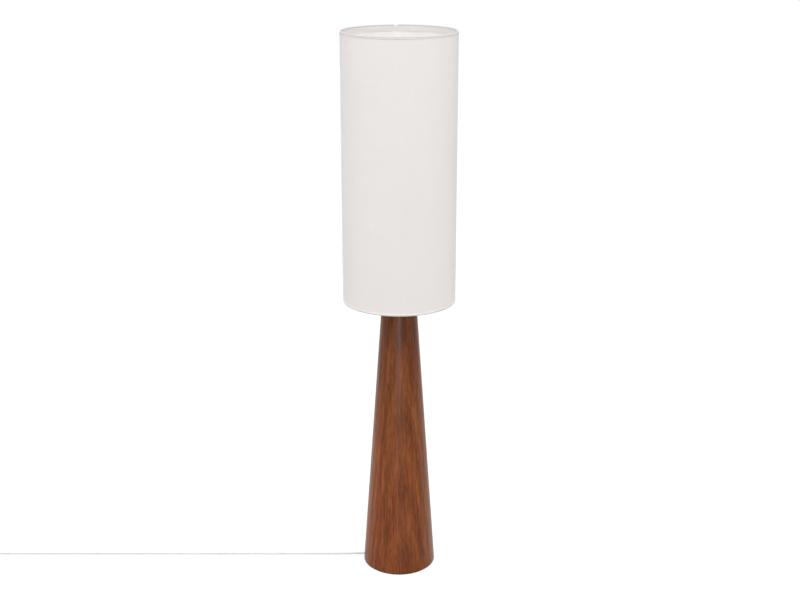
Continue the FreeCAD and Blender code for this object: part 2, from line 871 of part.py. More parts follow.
def bottom_hem():
    """The arms leave the hoop through slits in the hem."""
    slits = around(carrier_arm(arm_wire_radius + seat_gap), arm_count)
    outside = ring(2 * shade_radius, hoop_radius, shade_bottom_z - 1, shade_top_z)
    return hem(shade_bottom_z, 1).cut([slit.cut(outside) for slit in slits])


def shade_parts():
    low = shade_bottom_z + hem_thickness
    high = shade_top_z - hem_thickness
    return {
        "shade_fabric": ring(shade_radius, liner_radius, low, high),
        "shade_liner": ring(liner_radius, liner_bore_radius, low, high),
        "top_hem": hem(shade_top_z, -1),
        "bottom_hem": bottom_hem(),
        "top_hoop": hoop(shade_top_z - hoop_inset),
        "shade_carrier": shade_carrier(),
    }


# ---- Coils ---------------------------------------------------------------------------------------------
def coil_point(angle):
    """The middle of the coiled cord, where angle runs from -half_coil to half_coil. It spirals in on the
    floor, climbs a layer in the half turn about zero, and spirals out again on top."""
    radius = coil_inner_radius + coil_pitch * abs(angle) / (2 * math.pi)
    climb = min(max(angle / (math.pi / 2), -1.0), 1.0)
    rise = (1.0 + math.copysign(1.0 - (1.0 - abs(climb)) ** 2, climb)) / 2
    bearing = math.pi / 2 + half_coil + angle
    return Vector(
        coil_centre_x + radius * math.cos(bearing),
        coil_centre_y + radius * math.sin(bearing),
        coil_low_z + (coil_high_z - coil_low_z) * rise,
    )


def way_at(place, angle):
    """The direction of a wound path, from two points close to the angle."""
    near = 1e-3
    return (place(angle + near) - place(angle - near)).normalize()


def wound(places, ways):
    """Biarcs through the places of a wound path, each with the path's direction there."""
    edges = []
    for i in range(len(places) - 1):
        edges += biarc(places[i], ways[i], places[i + 1], ways[i + 1])
    return edges


def cord_coil():
    quarter = math.pi / 2
    steps = round(2 * half_coil / quarter)
    angles = [-half_coil + quarter * i for i in range(steps + 1)]
    places = [coil_point(angle) for angle in angles]
    ways = [Vector(-1, 0, 0)] + [way_at(coil_point, angle) for angle in angles[1:-1]] + [Vector(1, 0, 0)]
    lead_in = Part.LineSegment(coil_start, places[0]).toShape()
    lead_out = Part.LineSegment(places[-1], coil_end).toShape()
    path = Part.Wire([lead_in] + wound(places, ways) + [lead_out])
    gap = least_gap(path, cord_radius, coil_inner_radius * math.pi)
    print("cord_coil least gap", round(gap, 2))
    return swept("cord_coil", path, cord_radius)


# ---- Foot switch ---------------------------------------------------------------------------------------
def spring_point(angle):
    low = block_top_z + spring_wire_radius
    high = button_roof_z - spring_wire_radius
    return Vector(
        switch_centre_x + spring_radius * math.cos(angle),
        cord_y + spring_radius * math.sin(angle),
        low + (high - low) * angle / (2 * math.pi * spring_turns),
    )


def switch_spring():
    angles = [math.pi * i for i in range(2 * spring_turns + 1)]
    ways = [way_at(spring_point, angle) for angle in angles]
    path = Part.Wire(wound([spring_point(angle) for angle in angles], ways))
    gap = least_gap(path, spring_wire_radius, spring_radius * math.pi)
    print("switch_spring least gap", round(gap, 2))
    return swept("switch_spring", path, spring_wire_radius)


def cord_hole():
    start = Vector(switch_far_x - 1, cord_y, switch_cord_z)
    return Part.makeCylinder(cord_radius + fit_gap, 2 * switch_radius + 2, start, Vector(1, 0, 0))


def switch_screw_places():
    return [(switch_centre_x, cord_y + side * switch_screw_offset) for side in (-1, 1)]


def switch_base():
    shell = cylinder(switch_radius, 0, switch_split_z, switch_centre_x, cord_y)
    shell = rounded(shell, switch_edge_round, 0, switch_radius)
    inside = cylinder(
        switch_bore_radius, switch_floor, switch_split_z + 1, switch_centre_x, cord_y
    )
    cuts = [inside, cord_hole()]
    for x, y in switch_screw_places():
        cuts.append(cylinder(switch_screw_radius + fit_gap, -1, switch_floor + 1, x, y))
        seat_z = switch_screw_sink + switch_screw_head_height
        cuts.append(cylinder(switch_screw_head_radius + fit_gap, -1, seat_z, x, y))
    return shell.cut(cuts)


def switch_cover():
    outline = [
        (switch_radius, switch_split_z),
        (switch_radius, switch_top_z),
        (collar_radius, switch_top_z),
        (collar_radius, collar_bottom_z),
        (collar_radius + collar_wall, collar_bottom_z),
        (collar_radius + collar_wall, switch_top_z - switch_roof),
        (switch_bore_radius, switch_top_z - switch_roof),
        (switch_bore_radius, switch_split_z),
    ]
    shell = turned(outline)
    shell = rounded(shell, switch_shoulder, switch_top_z, switch_radius)
    inner_round = switch_shoulder - switch_roof
    shell = rounded(shell, inner_round, switch_top_z - switch_roof, switch_bore_radius)
    shell.translate(Vector(switch_centre_x, cord_y, 0))
    bosses = []
    holes = []
    for x, y in switch_screw_places():
        bosses.append(cylinder(switch_boss_radius, switch_floor, switch_top_z - switch_roof, x, y))
        hole_top_z = switch_screw_sink + switch_screw_length + 1
        holes.append(cylinder(switch_screw_radius + fit_gap, switch_floor - 1, hole_top_z, x, y))
    return shell.multiFuse(bosses).cut(holes)


def switch_button():
    flange_radius = button_radius + button_flange_width
    outline = [
        (0, button_top_z),
        (button_radius, button_top_z),
        (button_radius, button_flange_top_z),
        (flange_radius, button_flange_top_z),
        (flange_radius, button_bottom_z),
        (button_radius - button_wall, button_bottom_z),
        (button_radius - button_wall, button_roof_z),
        (0, button_roof_z),
    ]
    button = rounded(turned(outline), button_edge_round, button_top_z, button_radius)
    button.translate(Vector(switch_centre_x, cord_y, 0))
    return button


def switch_block():
    half = block_length / 2
    body = box(
        switch_centre_x - half,
        switch_centre_x + half,
        cord_y - block_width / 2,
        cord_y + block_width / 2,
        switch_floor,
        block_top_z,
    )
    boss = cylinder(
        block_boss_radius, block_top_z, block_top_z + block_boss_height, switch_centre_x, cord_y
    )
    return body.fuse(boss)


def terminal_places():
    """The outer ends of the four terminals: side along X, side along Y, x, y."""
    reach = block_length / 2 + terminal_length
    return [
        (along, across, switch_centre_x + along * reach, cord_y + across * terminal_pitch / 2)
        for along in (-1, 1)
        for across in (-1, 1)
    ]


def switch_terminals():
    blocks = []
    for along, across, x, y in terminal_places():
        inner_x = x - along * terminal_length
        blocks.append(
            box(
                min(x, inner_x),
                max(x, inner_x),
                y - terminal_width / 2,
                y + terminal_width / 2,
                switch_floor,
                switch_floor + terminal_height,
            )
        )
    return Part.makeCompound(blocks)


def switch_wires():
    """Short wires from the end of each cord to its two terminals."""
    wires = []
    for along, across, x, y in terminal_places():
        start_x = switch_centre_x + along * switch_cord_reach
        start = Vector(start_x, cord_y + across * conductor_spacing / 2, switch_cord_z)
        end = Vector(x, y, switch_floor + terminal_height / 2)
        straight = Vector(along * (start_x - x) * along / 4, 0, 0)
        points = [start, start - straight, end + straight, end]
        wires.append(cord("switch_wire", points, conductor_radius))
    return Part.makeCompound(wires)


def switch_screws():
    screws = []
    for x, y in switch_screw_places():
        seat_z = switch_screw_sink + switch_screw_head_height
        head = cylinder(switch_screw_head_radius, switch_screw_sink, seat_z, x, y)
        shank = cylinder(switch_screw_radius, seat_z, switch_screw_sink + switch_screw_length, x, y)
        screws.append(head.fuse(shank))
    return Part.makeCompound(screws)


def switch_boot(side):
    root = Vector(switch_centre_x + side * switch_radius, cord_y, switch_cord_z)
    return tapered_sleeve(root, Vector(side, 0, 0), boot_length, boot_root_wall)


def switch_parts():
    return {
        "switch_base": switch_base(),
        "switch_cover": switch_cover(),
        "switch_button": switch_button(),
        "switch_spring": switch_spring(),
        "switch_block": switch_block(),
        "switch_terminals": switch_terminals(),
        "switch_wires": switch_wires(),
        "switch_screws": switch_screws(),
        "switch_near_boot": switch_boot(1),
        "switch_far_boot": switch_boot(-1),
    }


# ---- Plug ----------------------------------------------------------------------------------------------
def plug_pin_places():
    return [plug_back.y + side * pin_spacing / 2 for side in (-1, 1)]


def pin_rod(radius, y, start, end):
    """A rod along X, where start and end are distances from the plug's front face."""
    face_x = plug_back.x + plug_length
    return Part.makeCylinder(
        radius, end - start, Vector(face_x + start, y, plug_axis_z), Vector(1, 0, 0)
    )


def plug_body():
    front_x = plug_back.x + plug_length
    shoulder_x = front_x - plug_straight
    sides = [
        Vector(plug_back.x, plug_tail_width / 2, 0),
        Vector(shoulder_x, plug_width / 2, 0),
        Vector(front_x, plug_width / 2, 0),
        Vector(front_x, -plug_width / 2, 0),
        Vector(shoulder_x, -plug_width / 2, 0),
        Vector(plug_back.x, -plug_tail_width / 2, 0),
    ]
    for corner in sides:
        corner.y += plug_back.y
    body = Part.Face(Part.makePolygon(sides + [sides[0]])).extrude(Vector(0, 0, plug_height))
    upright = [edge for edge in body.Edges if abs(edge.tangentAt(edge.FirstParameter).z) > 0.99]
    body = body.makeFillet(plug_edge_round, upright)
    flat = [edge for edge in body.Edges if edge.BoundBox.ZLength < 0.01]
    body = body.makeFillet(plug_edge_round / 2, flat)
    cuts = []
    for y in plug_pin_places():
        cuts.append(pin_rod(pin_core_radius + fit_gap, y, -pin_root, 1))
        cuts.append(pin_rod(pin_sleeve_radius + fit_gap, y, -pin_sleeve_root, 1))
    return body.cut(cuts)


def plug_pins():
    pins = []
    for y in plug_pin_places():
        tip = pin_rod(pin_radius, y, pin_sleeve_length, pin_length)
        end_edges = [edge for edge in tip.Edges if edge.BoundBox.XMin > tip.BoundBox.XMax - 0.01]
        tip = tip.makeFillet(pin_tip_round, end_edges)
        pins.append(tip.fuse(pin_rod(pin_core_radius, y, -pin_root, pin_sleeve_length)))
    return Part.makeCompound(pins)


def pin_sleeves():
    sleeves = []
    for y in plug_pin_places():
        outer = pin_rod(pin_sleeve_radius, y, -pin_sleeve_root, pin_sleeve_length)
        bore = pin_rod(pin_core_radius + fit_gap, y, -pin_sleeve_root - 1, pin_sleeve_length + 1)
        sleeves.append(outer.cut(bore))
    return Part.makeCompound(sleeves)


def plug_boot():
    return tapered_sleeve(plug_back, Vector(-1, 0, 0), plug_boot_length, plug_boot_root_wall)


def plug_parts():
    return {
        "plug_body": plug_body(),
        "plug_boot": plug_boot(),
        "plug_pins": plug_pins(),
        "pin_sleeves": pin_sleeves(),
    }


def cord_parts():
    return {
        "cord_to_switch": cord("cord_to_switch", floor_route),
        "cord_to_coil": cord("cord_to_coil", far_route),
        "cord_coil": cord_coil(),
        "cord_to_plug": cord("cord_to_plug", plug_route),
    }


# ---- Every piece to its own file -----------------------------------------------------------------------
os.makedirs("parts", exist_ok=True)
groups = [foot_parts, holder_parts, bulb_parts, shade_parts, switch_parts, plug_parts, cord_parts]
for group in groups:
    for node, shape in group().items():
        shape.exportStep("parts/" + node + ".step")
        solids = len(shape.Solids)
        print(node, "solids", solids, "volume", round(shape.Volume, 1), "valid", shape.isValid())
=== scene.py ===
import math

import bmesh
import bpy
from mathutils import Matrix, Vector, noise


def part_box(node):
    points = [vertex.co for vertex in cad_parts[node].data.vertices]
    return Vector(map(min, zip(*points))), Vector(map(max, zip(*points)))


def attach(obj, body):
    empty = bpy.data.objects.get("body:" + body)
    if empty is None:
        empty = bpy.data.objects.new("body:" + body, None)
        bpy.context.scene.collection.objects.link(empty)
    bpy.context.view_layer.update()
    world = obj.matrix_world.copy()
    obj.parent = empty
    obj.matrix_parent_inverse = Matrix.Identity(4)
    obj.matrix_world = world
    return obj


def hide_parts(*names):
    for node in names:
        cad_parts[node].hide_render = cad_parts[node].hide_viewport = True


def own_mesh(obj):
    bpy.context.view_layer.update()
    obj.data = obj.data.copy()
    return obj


# A column floor lamp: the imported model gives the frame, in metres, and this script adds the looks.
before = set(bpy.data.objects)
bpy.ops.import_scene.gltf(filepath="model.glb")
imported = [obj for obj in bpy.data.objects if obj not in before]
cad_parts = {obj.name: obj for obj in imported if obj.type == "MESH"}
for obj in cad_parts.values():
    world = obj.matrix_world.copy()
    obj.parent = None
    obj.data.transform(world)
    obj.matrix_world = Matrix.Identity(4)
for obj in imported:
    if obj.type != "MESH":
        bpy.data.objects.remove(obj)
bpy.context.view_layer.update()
scene = bpy.context.scene

# ---- The cord's route ----------------------------------------------------------------------------------
CORD_RADIUS = 0.0025
CORD_Y = 0.0205
CORD_LOW = CORD_RADIUS  # the cord's axis where it lies on the floor
CORD_EXIT_Z = 0.0033
SWITCH_CORD_Z = 0.006
PLUG_AXIS_Z = 0.00685
# The x of the spline's control points: out of the foot's bush and down to the floor,
BUSH_CLEAR_X, SINKING_X, LAID_X = -0.102, -0.140, -0.178
# up from the floor into the foot switch,
LIFTING_X, CLIMBING_X, LEVEL_X, SWITCH_INSIDE_X = -0.918, -0.946, -0.974, -1.020
# and out of the switch on its other side, down to the floor and on to the coil.
LEAD_START_X, LEAD_EXIT_X, LEAD_SINKING_X, LEAD_LAID_X = -1.068, -1.076, -1.108, -1.128
# How far past the coil's end the cord still lies level, and then where it is level with the plug.
COIL_LEAVES, PLUG_LEVEL, PLUG_INSIDE = 0.014, 0.030, 0.066
CORD_FIT = 0.00005  # between the cord and the relief round it

COIL_TURNS = 4.5
COIL_PITCH = 0.0055
COIL_INNER_RADIUS = 0.0208
COIL_OUTER_RADIUS = COIL_INNER_RADIUS + COIL_PITCH * COIL_TURNS / 2
COIL_CENTRE = Vector((-1.145, CORD_Y - COIL_OUTER_RADIUS, 0.0))
COIL_END_RUN = 0.005
COIL_STEP = math.radians(15.0)
COIL_TIE_BEARING = math.radians(195.0)
TIE_WIDTH = 0.006
TIE_THICKNESS = 0.0008

# ---- The shade's cloth ---------------------------------------------------------------------------------
SEAM_BEARING = math.radians(96.0)  # at the back
SEAM_WIDTH = 0.011
SEAM_RAMP = 0.014
SEAM_STEP = 0.0009
SKIN_THICKNESS = 0.0008
SKIN_WAVE = 0.00022
HEM_THICKNESS = 0.0004
HEM_WAVE = 0.00012
HEM_TURNED_IN = 0.012  # inside the shade, past the fold over the hoop, back to the liner
HEM_UPRIGHT = 0.001  # the first part of that, which is still upright
HEM_CLEARANCE = 0.0001
LINER_THICKNESS = 0.0006
FOLD_SHADE_DEPTH = 0.0026  # how deep the painted shade on the top hem's fold reaches
THREAD_PITCH = 0.00062
BAND_COLUMNS = 360
SKIN_ROWS = 90
FOLD_STEPS = 12

# ---- The photograph's view -----------------------------------------------------------------------------
CAMERA_PLACE = (0.0, -2.784, 1.519)
CAMERA_DOWN = math.radians(17.46)
CAMERA_LENS = 58.94
CAMERA_SHIFT = 0.00106
SENSOR_WIDTH = 36.0

# ---- The studio ----------------------------------------------------------------------------------------
FLOOR_HALF = 9.0
FLOOR_LEVEL = -0.0003  # just under the felt and the cord
FLOOR_TONE = 0.5  # what the floor lights the lamp with
FLOOR_GLOW = 0.9  # what makes it show white
FLOOR_FAINT = 0.16
WORLD_LEVEL = 0.1  # the strength of the light from the horizon
WORLD_OVERHEAD = 1.3
# Each soft box has a name, a place, an aim, a width and height, and a power in watts.
SOFT_BOXES = (
    ("key", (0.0, -2.6, 3.9), (0.0, 0.0, 0.9), (3.0, 1.4), 68.0),
    ("left", (-3.2, -0.9, 2.2), (0.0, 0.0, 0.8), (1.6, 2.6), 18.0),
    ("right", (3.2, -0.9, 2.2), (0.0, 0.0, 0.8), (1.6, 2.6), 18.0),
    ("back", (-1.2, 3.2, 2.4), (0.0, 0.0, 0.7), (2.0, 1.6), 26.0),
)
GLOSS_CARD = ("gloss_card", (-0.05, -2.6, 0.70), (0.0, 0.0, 0.42), (0.46, 1.2), 44.0)


# ---- Materials: short calls that add nodes -------------------------------------------------------------
def shown(red, green, blue):
    """A colour as it shows on a screen, from 0 to 255, in the shader's own values."""
    values = [value / 255 for value in (red, green, blue)]
    return tuple(v / 12.92 if v <= 0.04045 else ((v + 0.055) / 1.055) ** 2.4 for v in values) + (1.0,)


class Finish:
    """A material and the calls that add nodes to it. Socket names are written with underscores."""

    def __init__(self, name, **sockets):
        self.material = bpy.data.materials.new(name)
        self.material.use_nodes = True
        self.tree = self.material.node_tree
        self.shader = self.tree.nodes["Principled BSDF"]
        self.fill(self.shader, **sockets)

    def fill(self, node, **sockets):
        for name, value in sockets.items():
            self.join(node.inputs[name.replace("_", " ")], value)

    def join(self, socket, value):
        if isinstance(value, bpy.types.NodeSocket):
            self.tree.links.new(value, socket)
        else:
            socket.default_value = value

    def add(self, kind, settings=None, **sockets):
        node = self.tree.nodes.new("ShaderNode" + kind)
        for name, value in (settings or {}).items():
            setattr(node, name, value)
        self.fill(node, **sockets)
        return node

    def place(self, stretch=(1.0, 1.0, 1.0), shift=(0.0, 0.0, 0.0), turn=(0.0, 0.0, 0.0), source="Object"):
        """The texture's place on the piece, in metres times the stretch."""
        where = self.add("TexCoord").outputs[source]
        mapping = self.add("Mapping", Vector=where, Scale=stretch, Location=shift, Rotation=turn)
        return mapping.outputs["Vector"]

    def noise(self, where, scale=1.0, detail=3.0, rough=0.5, bent=0.0):
        node = self.add(
            "TexNoise", Vector=where, Scale=scale, Detail=detail, Roughness=rough, Distortion=bent
        )
        return node.outputs["Fac"]

    def sum(self, kind, first, second=0.0, third=0.0):
        """A number from one to three others."""
        node = self.add("Math", {"operation": kind})
        for socket, value in zip(node.inputs, (first, second, third)):
            self.join(socket, value)
        return node.outputs[0]

    def spread(self, value, low, high, from_low=0.0, from_high=1.0):
        """A number moved from one range to another, and held inside it."""
        node = self.add(
            "MapRange", Value=value, From_Min=from_low, From_Max=from_high, To_Min=low, To_Max=high
        )
        return node.outputs["Result"]

    def ramp(self, value, *stops):
        node = self.add("ValToRGB", Fac=value)
        elements = node.color_ramp.elements
        while len(elements) < len(stops):
            elements.new(0.5)
        for element, (position, colour) in zip(elements, stops):
            element.position = position
            element.color = colour
        return node.outputs["Color"]

    def mix(self, share, first, second, kind="MIX"):
        """A colour between two others. The Mix node has its colours at sockets 6 and 7."""
        node = self.add("Mix", {"data_type": "RGBA", "blend_type": kind})
        for index, value in ((0, share), (6, first), (7, second)):
            self.join(node.inputs[index], value)
        return node.outputs[2]

    def bump(self, height, depth, strength=1.0):
        node = self.add("Bump", Height=height, Distance=depth, Strength=strength)
        self.fill(self.shader, Normal=node.outputs["Normal"])


def walnut():
    """Stained walnut turned from one block: straight streaks along Z at three widths over faint rings,
    redder patches and open pores, with painted shade on the upper half, where the lampshade shades it,
    and painted shade along the foot's lower edge, under a satin lacquer."""
    made = Finish("walnut_wood", Specular_IOR_Level=0.16)
    rings = made.add(
        "TexWave",
        {"wave_type": "RINGS", "rings_direction": "Z", "wave_profile": "SIN"},
        Vector=made.place((1.0, 1.0, 0.02), (0.06, -0.3, 0.0), (0.0, -0.02, 0.0)),
        Scale=26.0,
        Distortion=1.6,
        Detail=2.0,
        Detail_Scale=0.4,
    ).outputs["Fac"]
    streaks = [
        made.noise(made.place((across, across, along), (shift, 0.3 * shift, shift)), detail=3.0, rough=0.55)
        for across, along, shift in ((46.0, 0.9, 1.0), (190.0, 1.5, 4.0), (520.0, 2.6, 7.0))
    ]
    fibre = made.noise(made.place((950.0, 950.0, 24.0)), detail=3.0, rough=0.6)
    tone = made.sum("MULTIPLY_ADD", rings, 0.06, 0.14)
    for streak, share in zip(streaks, (0.20, 0.28, 0.33)):
        tone = made.sum("MULTIPLY_ADD", streak, share, tone)
    tone = made.sum("MULTIPLY_ADD", fibre, 0.14, tone)
    wood = made.ramp(
        tone,
        (0.44, shown(68, 32, 16)),
        (0.56, shown(104, 54, 25)),
        (0.65, shown(131, 71, 33)),
        (0.78, shown(162, 96, 50)),
    )
    patches = made.noise(made.place((30.0, 30.0, 2.4), (3.1, 0.7, 0.2)), detail=2.0)
    redder = made.mix(1.0, wood, (1.03, 0.82, 0.86, 1.0), "MULTIPLY")
    wood = made.mix(made.spread(patches, 0.0, 0.7, 0.4, 0.68), wood, redder)
    pores = made.spread(made.noise(made.place((1700.0, 1700.0, 60.0)), detail=1.0), 0.0, 0.5, 0.62, 0.72)
    wood = made.mix(pores, wood, shown(56, 26, 12))
    height = made.add("SeparateXYZ", Vector=made.place()).outputs["Z"]
    # Painted shade: the wood darker from 0.33 m up, as if in the lampshade's shade.
    wood = made.mix(made.spread(height, 0.0, 1.0, 0.33, 0.50), wood, (0.79, 0.77, 0.77, 1.0), "MULTIPLY")
    # Painted shade: dark along the foot's lower edge, which faces the floor.
    painted_foot_shade = made.spread(height, 0.75, 0.0, 0.0022, 0.0068)
    wood = made.mix(painted_foot_shade, wood, shown(58, 26, 15))
    made.fill(made.shader, Base_Color=wood, Roughness=made.spread(fibre, 0.28, 0.40, 0.3, 0.7))
    made.bump(made.sum("MULTIPLY_ADD", pores, -1.0, fibre), 0.00012, 0.5)
    return made.material


def linen(name, light):
    """Plain woven linen on UVs in metres: warp over weft in a checker of crowned threads, with slubs."""
    made = Finish(name, Roughness=0.92, Specular_IOR_Level=0.2, Sheen_Weight=0.12, Sheen_Roughness=0.6)
    per_metre = 1.0 / THREAD_PITCH
    where = made.place((per_metre, per_metre, 1.0), source="UV")
    apart = made.add("SeparateXYZ", Vector=where)
    crowns = [
        made.sum("ABSOLUTE", made.sum("SINE", made.sum("MULTIPLY", apart.outputs[axis], math.pi)))
        for axis in ("X", "Y")
    ]
    over = made.add("TexChecker", Vector=where, Scale=1.0).outputs["Fac"]
    weave = made.add("Mix", {"data_type": "FLOAT"})  # with its numbers at sockets 2 and 3
    for index, value in ((0, over), (2, crowns[0]), (3, crowns[1])):
        made.join(weave.inputs[index], value)
    weave = weave.outputs[0]
    weft = made.noise(made.place((14.0, 950.0, 1.0), source="UV"), detail=2.0)
    warp = made.noise(made.place((950.0, 14.0, 1.0), (5.0, 2.0, 0.0), source="UV"), detail=2.0)
    thick_weft = made.spread(weft, 0.0, 1.0, 0.58, 0.78)
    thick_warp = made.spread(warp, 0.0, 1.0, 0.6, 0.8)
    slubs = made.sum("MAXIMUM", thick_weft, thick_warp)
    cloud = made.noise(made.place((7.0, 7.0, 1.0), source="UV"), detail=2.0)
    tone = made.sum("MULTIPLY_ADD", weave, 0.05, made.sum("MULTIPLY", slubs, -0.05))
    tone = made.sum("ADD", tone, made.sum("MULTIPLY_ADD", cloud, 0.03, light))
    thread = made.mix(made.spread(warp, 0.0, 0.5), shown(250, 245, 243), shown(248, 243, 238))
    grey = made.add("CombineColor", Red=tone, Green=tone, Blue=tone).outputs["Color"]
    made.fill(made.shader, Base_Color=made.mix(1.0, thread, grey, "MULTIPLY"))
    made.bump(made.sum("MULTIPLY_ADD", slubs, 0.8, weave), 0.00012, 0.6)
    return made.material


def darker(colour, share):
    return tuple(share * value for value in colour[:3]) + (1.0,)


def moulded(name, colour, rough=0.45, grain=0.00003, spots=900.0):
    """Moulded plastic: a fine spark-eroded grain, and a faint unevenness of colour and gloss."""
    made = Finish(name)
    cloud = made.noise(made.place(), 22.0, 3.0)
    made.fill(
        made.shader,
        Base_Color=made.mix(made.spread(cloud, 0.0, 1.0, 0.3, 0.7), colour, darker(colour, 0.93)),
        Roughness=made.spread(cloud, rough - 0.04, rough + 0.05, 0.3, 0.7),
    )
    made.bump(made.noise(made.place(), spots, 2.0), grain, 0.6)
    return made.material


def metal(name, colour, rough=0.3, stretch=(900.0, 900.0, 40.0)):
    """Plated or plain metal, with fine drawn lines and duller patches."""
    made = Finish(name, Metallic=1.0)
    lines = made.noise(made.place(stretch), detail=3.0, rough=0.65)
    patches = made.spread(made.noise(made.place(), 60.0, 4.0), 0.0, 1.0, 0.45, 0.7)
    made.fill(
        made.shader,
        Base_Color=made.mix(patches, colour, darker(colour, 0.75)),
        Roughness=made.sum("MULTIPLY_ADD", patches, 0.12, made.spread(lines, rough - 0.06, rough + 0.1)),
    )
    made.bump(lines, 0.00002, 0.5)
    return made.material


def painted(name, colour, rough=0.5):
    """Powder coat, with its orange peel."""
    made = Finish(name)
    cloud = made.noise(made.place(), 30.0, 2.0)
    made.fill(
        made.shader,
        Base_Color=made.mix(made.spread(cloud, 0.0, 0.25), colour, darker(colour, 0.85)),
        Roughness=made.spread(cloud, rough - 0.05, rough + 0.05),
    )
    made.bump(made.noise(made.place(), 700.0, 2.0), 0.00005, 0.5)
    return made.material


def cast_iron():
    made = Finish("cast_iron", Metallic=0.7)
    skin = made.noise(made.place(), 260.0, 5.0, 0.65)
    rust = made.spread(made.noise(made.place(), 45.0, 4.0), 0.0, 0.5, 0.55, 0.8)
    made.fill(
        made.shader,
        Base_Color=made.mix(rust, shown(74, 74, 76), shown(92, 60, 44)),
        Roughness=made.spread(skin, 0.6, 0.85),
    )
    made.bump(skin, 0.0004, 0.7)
    return made.material


def felt():
    made = Finish(
        "pressed_felt", Roughness=1.0, Sheen_Weight=0.5, Sheen_Roughness=0.5, Specular_IOR_Level=0.1
    )
    hairs = made.noise(made.place(), 1500.0, 4.0, 0.7, 1.5)
    mottle = made.noise(made.place(), 120.0, 3.0)
    made.fill(
        made.shader,
        Base_Color=made.ramp(
            made.sum("MULTIPLY_ADD", hairs, 0.6, made.sum("MULTIPLY", mottle, 0.4)),
            (0.35, shown(38, 31, 28)),
            (0.65, shown(74, 63, 57)),
        ),
    )
    made.bump(hairs, 0.0003, 0.8)
    return made.material


def opal():
    """White glass-like plastic that glows a little under its own surface."""
    made = Finish(
        "opal_globe",
        Subsurface_Weight=0.25,
        Subsurface_Radius=(0.004, 0.004, 0.004),
        Coat_Weight=0.3,
        Coat_Roughness=0.12,
    )
    cloud = made.noise(made.place(), 40.0, 3.0)
    made.fill(
        made.shader,
        Base_Color=made.mix(cloud, shown(244, 243, 240), shown(238, 237, 232)),
        Roughness=made.spread(cloud, 0.24, 0.34),
    )
    made.bump(made.noise(made.place(), 500.0, 2.0), 0.00001, 0.3)
    return made.material


def finishes():
    """One material for each of the record's slots."""
    return {
        "walnut": walnut(),
        "linen": linen("linen_weave", 0.925),
        "liner": moulded("liner_sheet", shown(251, 249, 248), 0.55, 0.00002, 400.0),
        "frame_white": painted("white_wire", shown(236, 235, 231), 0.42),
        "weight": cast_iron(),
        "zinc_steel": metal("zinc_plate", shown(196, 198, 202), 0.34),
        "cover_black": painted("black_plate", shown(34, 34, 35)),
        "felt": felt(),
        "holder_black": moulded("black_holder", shown(30, 30, 31), 0.4),
        "holder_core": moulded("cream_core", shown(228, 221, 202), 0.28),
        "brass": metal("plain_brass", shown(214, 178, 104), 0.26),
        "bulb_opal": opal(),
        "bulb_white": moulded("white_collar", shown(240, 240, 237), 0.3),
        "bulb_cap": metal("nickel_cap", shown(214, 212, 205), 0.2),
        "bulb_black": moulded("black_glass", shown(18, 18, 20), 0.12),
        "cord_white": moulded("cord_sheath", shown(236, 236, 232), 0.42, 0.00002, 1400.0),
        "switch_white": moulded("switch_shell", shown(228, 228, 224), 0.32),
        "switch_grey": moulded("grey_block", shown(128, 129, 131), 0.5),
        "spring_steel": metal("spring_wire", shown(200, 200, 203), 0.24),
        "wire_brown": moulded("brown_wire", shown(104, 58, 32), 0.4),
        "wire_blue": moulded("blue_wire", shown(42, 98, 180), 0.4),
        "wire_pairs": moulded("paired_wire", shown(104, 84, 78), 0.4),
        "plug_white": moulded("plug_shell", shown(226, 226, 222), 0.38, 0.00004, 700.0),
        "pin_nickel": metal("nickel_pin", shown(206, 203, 195), 0.22, (40.0, 900.0, 900.0)),
        "pin_grey": moulded("dark_sleeve", shown(44, 44, 46), 0.45),
    }


# ---- Meshes --------------------------------------------------------------------------------------------
def link(name, data):
    piece = bpy.data.objects.new(name, data)
    scene.collection.objects.link(piece)
    return piece


def dressed(piece, slot, body, *replaced):
    """Gives a new piece its finish and its body, and hides the CAD nodes that it stands for."""
    piece.data.materials.clear()
    piece.data.materials.append(MATERIALS[slot])
    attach(piece, body)
    if replaced:
        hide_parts(*replaced)
    return piece


def woven_band(name, radius, profile, columns, wave):
    """Cloth wound once round the shade, its end lapped over its start. The profile is a list of points,
    each how far out from the radius and how high, in the order that puts its outer side outwards."""
    length = 2 * math.pi * radius + SEAM_WIDTH
    mesh = bmesh.new()
    uv = mesh.loops.layers.uv.new("cloth")
    heights = [0.0]
    for before, after in zip(profile, profile[1:]):
        heights.append(heights[-1] + math.dist(before, after))
    grid = []
    for i in range(columns + 1):
        along = length * i / columns
        bearing = SEAM_BEARING + along / radius
        lap = min(max((along - length + SEAM_WIDTH + SEAM_RAMP) / SEAM_RAMP, 0.0), 1.0)
        lift = SEAM_STEP * lap * lap * (3 - 2 * lap)
        column = []
        for out, height in profile:
            way = Vector((math.cos(bearing), math.sin(bearing), 0.0))
            dent = wave * noise.noise(Vector((11 * way.x, 11 * way.y, 14 * height)))
            column.append(mesh.verts.new(way * (radius + out + lift + dent) + Vector((0, 0, height))))
        grid.append(column)
    for i in range(columns):
        for j in range(len(profile) - 1):
            corners = ((i, j), (i + 1, j), (i + 1, j + 1), (i, j + 1))
            face = mesh.faces.new([grid[a][b] for a, b in corners])
            face.smooth = True
            for loop, (a, b) in zip(face.loops, corners):
                loop[uv].uv = (length * a / columns, heights[b])
    data = bpy.data.meshes.new(name)
    mesh.to_mesh(data)
    mesh.free()
    return link(name, data)


def thicken(piece, thickness):
    """Gives a sheet its thickness, inwards."""
    modifier = piece.modifiers.new("thickness", "SOLIDIFY")
    modifier.thickness = thickness
    modifier.offset = -1.0


